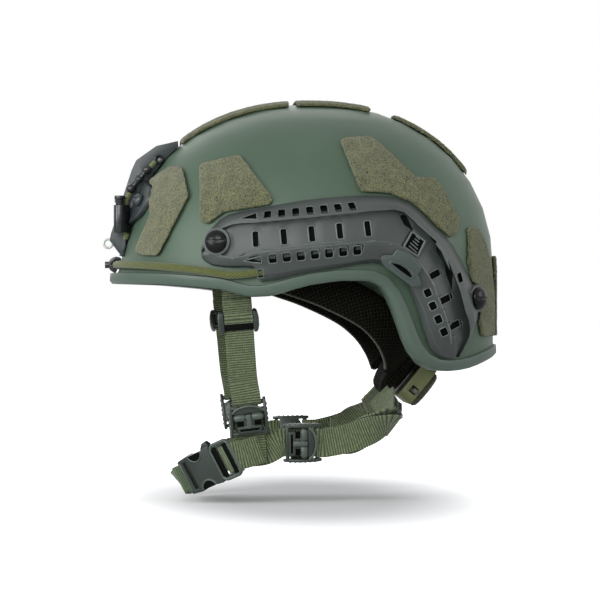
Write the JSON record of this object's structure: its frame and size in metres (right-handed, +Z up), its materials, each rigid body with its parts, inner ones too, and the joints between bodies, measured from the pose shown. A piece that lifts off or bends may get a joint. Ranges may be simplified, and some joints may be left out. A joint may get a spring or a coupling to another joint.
{
  "type": "combat helmet",
  "caption": "High-cut combat helmet with side rails, front mounting shroud, loop patches, padded liner, rear fit dial and an adjustable webbing chin strap with a side-release buckle.",
  "frame": {"origin": "centre of the head opening, level with the front brim, midway along the shell", "axes": "+Z up, -Y to the front of the helmet, +X to the wearer's left"},
  "size_m": [0.2416, 0.2773, 0.2766],
  "materials": {
    "painted_shell": "semi-matt textured green paint over a moulded composite shell",
    "edge_rubber": "smooth satin rubber",
    "loop_fabric": "olive loop pile",
    "rail_plastic": "matt grey-green moulded polymer",
    "black_steel": "glossy black coated steel",
    "shroud_plastic": "matt dark polymer",
    "clear_plastic": "whitish translucent plastic",
    "bungee_cord": "olive braided elastic cord",
    "black_plastic": "glossy black plastic",
    "black_cord": "black elastic cord",
    "pad_foam": "black fabric over foam",
    "mesh_fabric": "very dark olive air mesh over foam",
    "housing_plastic": "light olive polymer",
    "dial_plastic": "dark olive polymer with a knurled edge",
    "gear_plastic": "natural dark acetal",
    "webbing": "ribbed green polyamide webbing",
    "buckle_plastic": "satin dark green moulded polymer"
  },
  "bodies": {
    "helmet": {"shell": "painted_shell", "edge_trim": "edge_rubber", "front_patches": "loop_fabric", "temple_patches": "loop_fabric", "side_patches": "loop_fabric", "rear_corner_patches": "loop_fabric", "crown_front_patch": "loop_fabric", "crown_patch": "loop_fabric", "crown_rear_patch": "loop_fabric", "rear_patch": "loop_fabric", "rail_left": "rail_plastic", "rail_right": "rail_plastic", "strap_clips": "rail_plastic", "rail_bolts": "black_steel", "rail_nuts": "black_steel", "shroud_base": "shroud_plastic", "shroud_insert": "black_steel", "shroud_screws": "black_steel", "tether_loop": "clear_plastic", "front_bungee": "bungee_cord", "bungee_retainer": "black_plastic", "lanyard_cords": "black_cord", "lanyard_hooks": "black_plastic", "cord_locks": "black_plastic", "crown_pad": "pad_foam", "front_pad": "pad_foam", "rear_pad": "pad_foam", "side_pads": "pad_foam", "nape_band_left": "mesh_fabric", "nape_band_right": "mesh_fabric", "nape_pad": "mesh_fabric", "dial_housing": "housing_plastic", "front_strap_left": "webbing", "front_strap_right": "webbing", "rear_strap_left": "webbing", "rear_strap_right": "webbing", "junction_webbing": "webbing", "chin_strap": "webbing", "adjuster_frames": "buckle_plastic", "adjuster_pins": "black_steel", "nape_rings": "buckle_plastic", "nape_tabs": "webbing", "buckle_plug": "buckle_plastic"},
    "dial": {"dial_knob": "dial_plastic", "dial_pinion": "gear_plastic"},
    "rack_left": {"dial_rack_left": "gear_plastic"},
    "rack_right": {"dial_rack_right": "gear_plastic"},
    "latch_left": {"rail_latch_left": "rail_plastic"},
    "latch_right": {"rail_latch_right": "rail_plastic"},
    "button_left": {"lock_button_left": "black_plastic"},
    "button_right": {"lock_button_right": "black_plastic"},
    "lever_front_left": {"cam_lever_front_left": "buckle_plastic"},
    "lever_front_right": {"cam_lever_front_right": "buckle_plastic"},
    "lever_rear_left": {"cam_lever_rear_left": "buckle_plastic"},
    "lever_rear_right": {"cam_lever_rear_right": "buckle_plastic"},
    "glide_left": {"triglide_left": "buckle_plastic"},
    "glide_right": {"triglide_right": "buckle_plastic"},
    "socket": {"buckle_socket": "buckle_plastic"}
  },
  "joints": [
    {"name": "dial_turn", "type": "hinge", "parent": "helmet", "child": "dial", "pos_m": [0, 0.0815, -0.0755], "axis": [0, 0.7771, -0.6293], "range_deg": [-110, 110]},
    {"name": "rack_left_slide", "type": "slide", "parent": "helmet", "child": "rack_left", "axis": [1, 0, 0], "range_m": [-0.00767, 0.00767]},
    {"name": "rack_right_slide", "type": "slide", "parent": "helmet", "child": "rack_right", "axis": [-1, 0, 0], "range_m": [-0.008, 0.008]},
    {"name": "latch_left_press", "type": "slide", "parent": "helmet", "child": "latch_left", "axis": [-0.9346, -0.3415, -0.1001], "range_m": [0, 0.0015], "stiffness_N_per_m": 2000, "springref_m": -0.0005},
    {"name": "latch_right_press", "type": "slide", "parent": "helmet", "child": "latch_right", "axis": [0.9346, -0.3415, -0.1001], "range_m": [0, 0.0015], "stiffness_N_per_m": 2000, "springref_m": -0.0005},
    {"name": "lock_left_press", "type": "slide", "parent": "helmet", "child": "button_left", "axis": [0, 0, -1], "range_m": [0, 0.003], "stiffness_N_per_m": 1000, "springref_m": -0.001},
    {"name": "lock_right_press", "type": "slide", "parent": "helmet", "child": "button_right", "axis": [0, 0, -1], "range_m": [0, 0.003], "stiffness_N_per_m": 1000, "springref_m": -0.001},
    {"name": "lever_front_left_lift", "type": "hinge", "parent": "helmet", "child": "lever_front_left", "pos_m": [0.06544, -0.04313, -0.0936], "axis": [-0.0252, -0.9917, -0.1258], "range_deg": [0, 75]},
    {"name": "lever_front_right_lift", "type": "hinge", "parent": "helmet", "child": "lever_front_right", "pos_m": [-0.06544, -0.04313, -0.0936], "axis": [-0.0252, 0.9917, 0.1258], "range_deg": [0, 75]},
    {"name": "lever_rear_left_lift", "type": "hinge", "parent": "helmet", "child": "lever_rear_left", "pos_m": [0.06178, -0.00499, -0.11181], "axis": [0.1191, -0.0199, 0.9927], "range_deg": [0, 75]},
    {"name": "lever_rear_right_lift", "type": "hinge", "parent": "helmet", "child": "lever_rear_right", "pos_m": [-0.06178, -0.00499, -0.11181], "axis": [0.1191, 0.0199, -0.9927], "range_deg": [0, 75]},
    {"name": "glide_left_slide", "type": "slide", "parent": "helmet", "child": "glide_left", "axis": [0.2863, -0.0852, 0.9543], "range_m": [-0.008, 0.008]},
    {"name": "glide_right_slide", "type": "slide", "parent": "helmet", "child": "glide_right", "axis": [-0.2863, -0.0852, 0.9543], "range_m": [-0.008, 0.008]},
    {"name": "buckle_release", "type": "slide", "parent": "helmet", "child": "socket", "axis": [-0.5495, -0.7443, -0.3796], "range_m": [0, 0.022], "deforming": ["chin_strap"]}
  ],
  "couplings": [
    {"joint": "dial_turn", "follows": "rack_left_slide", "rad_per_m": -250},
    {"joint": "rack_right_slide", "follows": "rack_left_slide", "ratio": 1}
  ]
}
